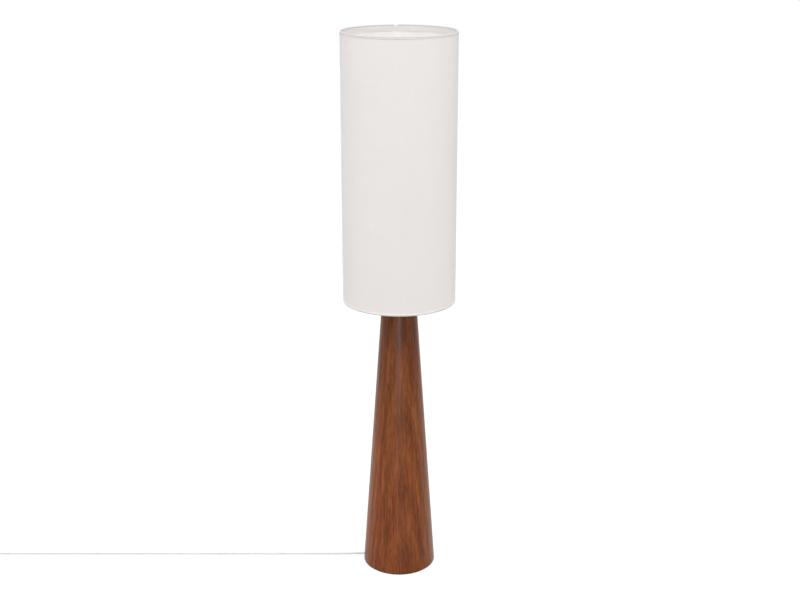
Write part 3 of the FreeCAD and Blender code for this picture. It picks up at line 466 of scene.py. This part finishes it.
def lathe(name, outline, start, way, segments=64):
    """A round piece: a closed outline of (along, radius) points turned about a line along X."""
    mesh = bmesh.new()
    rings = []
    for along, radius in outline:
        ring = []
        for i in range(segments):
            angle = 2 * math.pi * i / segments
            point = (way * along, radius * math.cos(angle), radius * math.sin(angle))
            ring.append(mesh.verts.new(start + Vector(point)))
        rings.append(ring)
    for ring, after in zip(rings, rings[1:] + rings[:1]):
        for i in range(segments):
            j = (i + 1) % segments
            mesh.faces.new((ring[i], ring[j], after[j], after[i]))
    bmesh.ops.recalc_face_normals(mesh, faces=mesh.faces)
    data = bpy.data.meshes.new(name)
    mesh.to_mesh(data)
    mesh.free()
    data.shade_smooth()
    data.set_sharp_from_angle(angle=math.radians(40))
    return link(name, data)


# ---- Shade ---------------------------------------------------------------------------------------------
def fold_bore():
    """The hem's inner radius, just inside the hoop's wire."""
    hoop_low, hoop_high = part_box("top_hoop")
    wire = hoop_high.z - hoop_low.z
    return hoop_high.x - wire - HEM_THICKNESS


def add_hem(name, node, side):
    """The cloth turned over a hoop. side is 1 at the top and -1 at the bottom."""
    low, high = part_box(node)
    rim = high.z if side > 0 else low.z
    outer_edge = low.z if side > 0 else high.z
    nose = (high.x - fold_bore()) / 2
    centre = (high.x + fold_bore()) / 2
    profile = [(high.x - HEM_THICKNESS, outer_edge), (high.x, (outer_edge + rim - side * nose) / 2)]
    for i in range(FOLD_STEPS + 1):
        angle = math.pi * i / FOLD_STEPS
        profile.append((centre + nose * math.cos(angle), rim - side * nose + side * nose * math.sin(angle)))
    profile.append((fold_bore(), rim - side * (nose + HEM_UPRIGHT)))
    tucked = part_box("shade_liner")[1].x - LINER_THICKNESS - HEM_CLEARANCE - HEM_THICKNESS
    for back in (HEM_THICKNESS, 0.0):  # the row before the cut edge keeps the face's shading flat
        profile.append((tucked, rim - side * (nose + HEM_TURNED_IN - back)))
    if side < 0:
        profile.reverse()
    radius = high.x
    hem = woven_band(name, radius, [(r - radius, z) for r, z in profile], BAND_COLUMNS, HEM_WAVE)
    thicken(hem, HEM_THICKNESS)
    dressed(hem, "linen", "shade", node)
    # The top hem's fold edge gets the darker copy of the linen: painted shade.
    hem.data.materials.append(SHADED_FOLD_LINEN)
    for face in hem.data.polygons:
        face.material_index = int(side > 0 and face.center.z > rim - FOLD_SHADE_DEPTH)
    return hem


def add_shade_skin():
    """The linen on the liner, from hem to hem, with the two hems."""
    low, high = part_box("shade_fabric")
    profile = [(0.0, low.z + (high.z - low.z) * j / SKIN_ROWS) for j in range(SKIN_ROWS + 1)]
    skin = woven_band("shade_skin", high.x, profile, BAND_COLUMNS, SKIN_WAVE)
    thicken(skin, SKIN_THICKNESS)
    dressed(skin, "linen", "shade", "shade_fabric")
    hems = [add_hem("top_hem_fold", "top_hem", 1), add_hem("bottom_hem_fold", "bottom_hem", -1)]


# ---- Cords and foot switch -----------------------------------------------------------------------------
def add_cord(name, points):
    """A round cord on one smooth open spline, whose control points are the route's points."""
    curve = bpy.data.curves.new(name, "CURVE")
    curve.dimensions = "3D"
    curve.bevel_depth = CORD_RADIUS
    curve.bevel_resolution = 6
    curve.resolution_u = 12
    curve.use_fill_caps = True
    spline = curve.splines.new("NURBS")
    spline.points.add(len(points) - 1)
    for control, point in zip(spline.points, points):
        control.co = (*point, 1.0)
    spline.order_u = 3
    spline.use_endpoint_u = True
    return link(name, curve)


def coil_points():
    """The cord's turns: they spiral in on the floor, climb a layer in the half turn where the spiral
    reverses, and spiral out again on top. The control points stand out from the turns, so that the
    spline through them has the turns' own radius."""
    half_coil = math.pi * COIL_TURNS
    steps = round(2 * half_coil / COIL_STEP)
    points = []
    for i in range(steps + 1):
        angle = -half_coil + 2 * half_coil * i / steps
        radius = COIL_INNER_RADIUS + COIL_PITCH * abs(angle) / (2 * math.pi)
        climb = min(max(angle / (math.pi / 2), -1.0), 1.0)
        rise = (1.0 + math.copysign(1.0 - (1.0 - abs(climb)) ** 2, climb)) / 2
        bearing = math.pi / 2 + half_coil + angle
        reach = radius / math.cos(COIL_STEP / 2)
        way = Vector((math.cos(bearing), math.sin(bearing), 0.0))
        points.append(COIL_CENTRE + way * reach + Vector((0, 0, CORD_LOW + COIL_PITCH * rise)))
    return points


def add_power_cord():
    """From the foot's bush to inside the foot switch, straight on the floor."""
    exit_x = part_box("cord_bush")[0].x
    route = [
        (exit_x, CORD_Y, CORD_EXIT_Z),
        (BUSH_CLEAR_X, CORD_Y, CORD_EXIT_Z),
        (SINKING_X, CORD_Y, CORD_LOW),
        (LAID_X, CORD_Y, CORD_LOW),
        (LIFTING_X, CORD_Y, CORD_LOW),
        (CLIMBING_X, CORD_Y, CORD_LOW),
        (LEVEL_X, CORD_Y, SWITCH_CORD_Z),
        (SWITCH_INSIDE_X, CORD_Y, SWITCH_CORD_Z),
    ]
    cord = dressed(add_cord("power_cord", route), "cord_white", "root", "cord_to_switch")


def add_plug_lead():
    """From inside the foot switch through the coil to inside the plug."""
    coil = coil_points()
    end_y = coil[-1].y
    high = coil[-1].z
    coil_start_x = COIL_CENTRE.x + COIL_END_RUN
    start = [
        (LEAD_START_X, CORD_Y, SWITCH_CORD_Z),
        (LEAD_SINKING_X, CORD_Y, SWITCH_CORD_Z),
        (LEAD_LAID_X, CORD_Y, CORD_LOW),
        (coil_start_x, CORD_Y, CORD_LOW),
    ]
    end = [
        (coil_start_x, end_y, high),
        (coil_start_x + COIL_LEAVES, end_y, high),
        (coil_start_x + PLUG_LEVEL, end_y, PLUG_AXIS_Z),
        (coil_start_x + PLUG_INSIDE, end_y, PLUG_AXIS_Z),
    ]
    lead = add_cord("plug_lead", start + coil + end)
    dressed(lead, "cord_white", "root", "cord_to_coil", "cord_coil", "cord_to_plug")


def add_relief(name, node, way, ribs=6):
    """A tapered, ribbed strain relief in the place of a plain tapered sleeve along X."""
    low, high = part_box(node)
    root_radius = (high.z - low.z) / 2
    start = Vector((low.x if way > 0 else high.x, (low.y + high.y) / 2, (low.z + high.z) / 2))
    length = high.x - low.x
    tip_radius = CORD_RADIUS + 0.0008
    groove_radius = CORD_RADIUS + 0.0005
    flare = root_radius - tip_radius
    outline = [(0.0, CORD_RADIUS + CORD_FIT), (0.0, root_radius)]
    shoulder = 0.2 * length
    outline.append((shoulder, root_radius - 0.1 * flare))
    pitch = (length - shoulder) / ribs
    for i in range(ribs):
        groove = shoulder + pitch * i
        rib = groove + 0.35 * pitch
        radius = root_radius - flare * (rib + 0.3 * pitch) / length
        outline += [
            (groove + 0.04 * pitch, groove_radius),
            (rib, groove_radius),
            (rib + 0.08 * pitch, radius),
            (groove + 0.95 * pitch, radius - 0.00008),
        ]
    outline += [(length, tip_radius - 0.0003), (length, CORD_RADIUS + CORD_FIT)]
    return dressed(lathe(name, outline, start, way), "cord_white", "root", node)


def add_tie():
    """A flat strap round the coil's turns."""
    out = Vector((math.cos(COIL_TIE_BEARING), math.sin(COIL_TIE_BEARING), 0.0))
    along = Vector((-out.y, out.x, 0.0))
    inner = COIL_INNER_RADIUS - CORD_RADIUS - TIE_THICKNESS
    outer = COIL_OUTER_RADIUS + CORD_RADIUS + TIE_THICKNESS
    low = TIE_THICKNESS / 2
    high = CORD_LOW + COIL_PITCH + CORD_RADIUS + TIE_THICKNESS
    round_off = CORD_RADIUS
    corner_steps = 6
    line = []
    corners = ((outer, high, 0), (inner, high, 90), (inner, low, 180), (outer, low, 270))
    for across, height, start in corners:
        centre_out = across - math.copysign(round_off, across - (inner + outer) / 2)
        centre_up = height - math.copysign(round_off, height - (low + high) / 2)
        for i in range(corner_steps + 1):
            angle = math.radians(start + 90 * i / corner_steps)
            line.append((centre_out + round_off * math.cos(angle), centre_up + round_off * math.sin(angle)))
    mesh = bmesh.new()
    half = TIE_WIDTH / 2
    strips = (-half, -half / 3, half / 3, half)
    sections = []
    for across, height in line:
        middle = Vector((COIL_CENTRE.x, COIL_CENTRE.y, height)) + out * across
        sections.append([mesh.verts.new(middle + along * step) for step in strips])
    for section, after in zip(sections, sections[1:] + sections[:1]):
        for i in range(len(strips) - 1):
            mesh.faces.new((section[i], section[i + 1], after[i + 1], after[i]))
    bmesh.ops.recalc_face_normals(mesh, faces=mesh.faces)
    data = bpy.data.meshes.new("coil_tie")
    mesh.to_mesh(data)
    mesh.free()
    data.shade_smooth()
    tie = link("coil_tie", data)
    thicken(tie, TIE_THICKNESS)
    return dressed(tie, "plug_white", "root")


def shorten_spring():
    """Gives the switch's spring a mesh of its own."""
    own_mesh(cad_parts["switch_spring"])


# ---- Floor, light and camera ---------------------------------------------------------------------------
def seen_ray(tree):
    """1 for a ray from the camera, off gloss or through glass, and 0 for one that only lights."""
    path = tree.nodes.new("ShaderNodeLightPath")
    share = path.outputs["Is Camera Ray"]
    for name in ("Is Glossy Ray", "Is Transmission Ray"):
        larger = tree.nodes.new("ShaderNodeMath")
        larger.operation = "MAXIMUM"
        tree.links.new(share, larger.inputs[0])
        tree.links.new(path.outputs[name], larger.inputs[1])
        share = larger.outputs[0]
    return share


def add_floor():
    """A floor that lights the lamp as a plain grey one does, and shows white."""
    data = bpy.data.meshes.new("floor")
    corners = [(FLOOR_HALF * x, FLOOR_HALF * y, FLOOR_LEVEL) for x, y in ((-1, -1), (1, -1), (1, 1), (-1, 1))]
    data.from_pydata(corners, [], [(0, 1, 2, 3)])
    floor = link("floor", data)
    made = Finish("pale_floor")
    plain = made.add("BsdfDiffuse", Color=(FLOOR_TONE,) * 3 + (1.0,)).outputs[0]
    glow = made.add("Emission", Color=(1.0, 1.0, 1.0, 1.0), Strength=FLOOR_GLOW).outputs[0]
    faint = made.add("BsdfDiffuse", Color=(FLOOR_FAINT,) * 3 + (1.0,)).outputs[0]
    white = made.add("AddShader")
    made.join(white.inputs[0], glow)
    made.join(white.inputs[1], faint)
    choice = made.add("MixShader")
    for index, value in enumerate((seen_ray(made.tree), plain, white.outputs[0])):
        made.join(choice.inputs[index], value)
    made.join(made.tree.nodes["Material Output"].inputs["Surface"], choice.outputs[0])
    data.materials.append(made.material)


def add_world():
    """White where it is seen. What it lights with grows from one strength at the horizon to another."""
    world = bpy.data.worlds.new("studio")
    world.use_nodes = True
    tree = world.node_tree
    up = tree.nodes.new("ShaderNodeSeparateXYZ")
    tree.links.new(tree.nodes.new("ShaderNodeTexCoord").outputs["Generated"], up.inputs[0])
    climb = tree.nodes.new("ShaderNodeMapRange")
    tree.links.new(up.outputs["Z"], climb.inputs["Value"])
    climb.inputs["To Min"].default_value = WORLD_LEVEL
    climb.inputs["To Max"].default_value = WORLD_OVERHEAD
    strength = tree.nodes.new("ShaderNodeMapRange")
    tree.links.new(seen_ray(tree), strength.inputs["Value"])
    tree.links.new(climb.outputs["Result"], strength.inputs["To Min"])
    strength.inputs["To Max"].default_value = 1.0
    background = tree.nodes["Background"]
    background.inputs["Color"].default_value = (1.0, 1.0, 1.0, 1.0)
    tree.links.new(strength.outputs["Result"], background.inputs["Strength"])
    scene.world = world


def add_lamp(name, place, aim, size, power):
    """A soft box that looks from its place at its aim. Its size is its width and height."""
    data = bpy.data.lights.new(name, "AREA")
    data.shape = "RECTANGLE"
    data.size, data.size_y = size
    data.energy = power
    lamp = link(name, data)
    lamp.location = place
    lamp.rotation_euler = (Vector(aim) - Vector(place)).to_track_quat("-Z", "Y").to_euler()
    lamp.visible_camera = False
    return lamp


def add_camera():
    data = bpy.data.cameras.new("camera")
    data.lens = CAMERA_LENS
    data.sensor_width = SENSOR_WIDTH
    data.shift_x = CAMERA_SHIFT
    camera = link("camera", data)
    camera.location = CAMERA_PLACE
    camera.rotation_euler = (math.pi / 2 - CAMERA_DOWN, 0.0, 0.0)
    scene.camera = camera


# ---- The whole -----------------------------------------------------------------------------------------
MATERIALS = finishes()
# A darker copy of the linen: painted shade for the top hem's fold.
SHADED_FOLD_LINEN = linen("linen_fold_painted_shade", 0.52)
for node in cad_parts.values():
    for holder in node.material_slots:
        holder.material = MATERIALS[holder.material.name.split(".")[0]]

add_camera()
add_relief("near_relief", "switch_near_boot", 1)
add_relief("far_relief", "switch_far_boot", -1)
add_relief("plug_relief", "plug_boot", -1, ribs=8)
add_tie()
shorten_spring()
add_power_cord()
add_plug_lead()
add_shade_skin()
add_floor()
add_world()
for soft_box in SOFT_BOXES:
    add_lamp(*soft_box)
gloss_card = add_lamp(*GLOSS_CARD)
gloss_card.visible_diffuse = False  # it only shows as the highlight down the wood
scene.view_settings.view_transform = "Standard"
